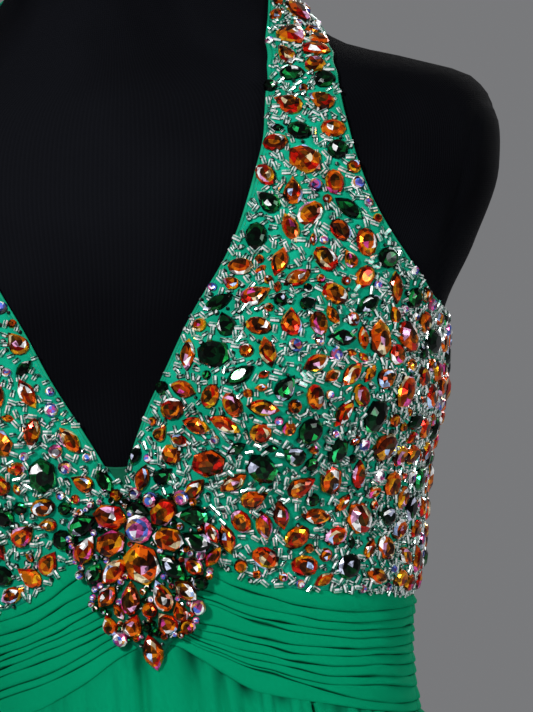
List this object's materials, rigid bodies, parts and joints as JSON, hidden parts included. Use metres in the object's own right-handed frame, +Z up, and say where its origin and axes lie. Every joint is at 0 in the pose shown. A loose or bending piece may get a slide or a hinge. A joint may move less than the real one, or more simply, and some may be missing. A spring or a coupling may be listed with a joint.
{
  "type": "evening dress on a limbless dress form",
  "caption": "Floor-length halter evening dress with a V neck, beaded bodice, pleated midriff and gathered skirt, worn by a limbless dress form on a stand.",
  "frame": {"origin": "middle of the stand's base, on the floor", "axes": "+Z up, the dress's front faces -Y, the wearer's left is +X"},
  "size_m": [0.7999, 0.7317, 1.558],
  "materials": {
    "beaded_cloth": "green chiffon sewn all over with beads and set stones",
    "green_satin": "soft satin sheen",
    "green_chiffon": "matt fine chiffon",
    "stone_applique": "faceted amber glass stones on a green ground",
    "black_jersey": "matt fine rib",
    "black_cap": "satin black",
    "bright_steel": "polished tube",
    "black_steel": "satin black paint",
    "green_zip": "enamelled to match the cloth"
  },
  "bodies": {
    "dress_and_form": {"bodice_front_left": "beaded_cloth", "bodice_front_right": "beaded_cloth", "bodice_back_left": "beaded_cloth", "bodice_back_right": "beaded_cloth", "centre_inset": "green_satin", "neck_strap_left": "green_satin", "neck_strap_right": "green_satin", "midriff_front_left": "green_chiffon", "midriff_front_right": "green_chiffon", "midriff_back_left": "green_chiffon", "midriff_back_right": "green_chiffon", "skirt_front": "green_chiffon", "skirt_back_left": "green_chiffon", "skirt_back_right": "green_chiffon", "centre_applique": "stone_applique", "zip_slider": "green_zip", "form_torso": "black_jersey", "form_neck_cap": "black_cap", "form_pole": "bright_steel", "form_collar": "black_steel", "form_base": "black_steel"},
    "pull_tab": {"zip_pull_tab": "green_zip"}
  },
  "joints": [
    {"name": "pull_tab_hinge", "type": "hinge", "parent": "dress_and_form", "child": "pull_tab", "pos_m": [0, 0.10201, 1.253], "axis": [1, 0, 0], "range_deg": [0, 150]}
  ]
}
